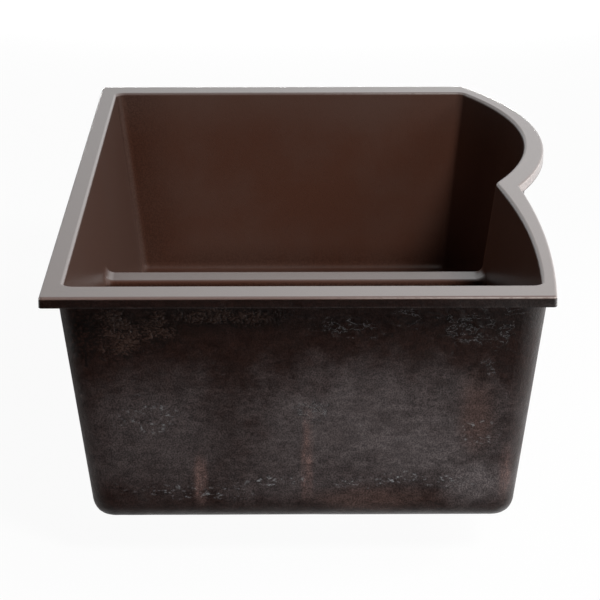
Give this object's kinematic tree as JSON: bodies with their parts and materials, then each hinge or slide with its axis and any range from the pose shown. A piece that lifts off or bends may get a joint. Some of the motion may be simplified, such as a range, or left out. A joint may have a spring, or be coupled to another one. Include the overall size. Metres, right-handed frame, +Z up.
{
  "type": "double bowl kitchen sink",
  "caption": "Undermount double bowl kitchen sink, cast in one piece with lobed backs and a low divider, with lift-out basket strainers in the bowl floors.",
  "frame": {"origin": "middle of the rim's outline box, on the rim's top face", "axes": "+X along the sink towards the small bowl, +Y towards the lobed back, +Z up out of the bowls"},
  "size_m": [0.86, 0.4919, 0.272],
  "materials": {
    "sink_composite": "dark brown quartz composite, fine speckle, satin inside and duller outside",
    "strainer_steel": "spun satin",
    "gasket_foam": "closed-cell foam",
    "washer_rubber": "matte",
    "ring_card": "waxed",
    "nut_plastic": "moulded",
    "basket_steel": "spun satin",
    "post_chrome": "polished",
    "stopper_rubber": "matte",
    "retainer_steel": "plain",
    "clip_steel": "spring steel"
  },
  "bodies": {
    "sink": {"sink_body": "sink_composite", "large_strainer_body": "strainer_steel", "large_strainer_outlet": "strainer_steel", "large_strainer_spider": "strainer_steel", "large_flange_gasket": "gasket_foam", "large_sink_washer": "washer_rubber", "large_friction_ring": "ring_card", "large_lock_nut": "nut_plastic", "small_strainer_body": "strainer_steel", "small_strainer_outlet": "strainer_steel", "small_strainer_spider": "strainer_steel", "small_flange_gasket": "gasket_foam", "small_sink_washer": "washer_rubber", "small_friction_ring": "ring_card", "small_lock_nut": "nut_plastic"},
    "large_lift": {"large_basket_post": "post_chrome", "large_basket_stopper": "stopper_rubber", "large_stopper_retainer": "retainer_steel", "large_spring_clip": "clip_steel"},
    "large_basket": {"large_basket_cup": "basket_steel"},
    "small_lift": {"small_basket_post": "post_chrome", "small_basket_stopper": "stopper_rubber", "small_stopper_retainer": "retainer_steel", "small_spring_clip": "clip_steel"},
    "small_basket": {"small_basket_cup": "basket_steel"}
  },
  "joints": [
    {"name": "large_basket_lift", "type": "slide", "parent": "sink", "child": "large_lift", "axis": [0, 0, 1], "range_m": [0, 0.28]},
    {"name": "large_basket_turn", "type": "hinge", "parent": "large_lift", "child": "large_basket", "pos_m": [-0.18305, 0, -0.2496], "axis": [0, 0, 1], "continuous": true},
    {"name": "small_basket_lift", "type": "slide", "parent": "sink", "child": "small_lift", "axis": [0, 0, 1], "range_m": [0, 0.28]},
    {"name": "small_basket_turn", "type": "hinge", "parent": "small_lift", "child": "small_basket", "pos_m": [0.22005, 0, -0.2496], "axis": [0, 0, 1], "continuous": true}
  ]
}
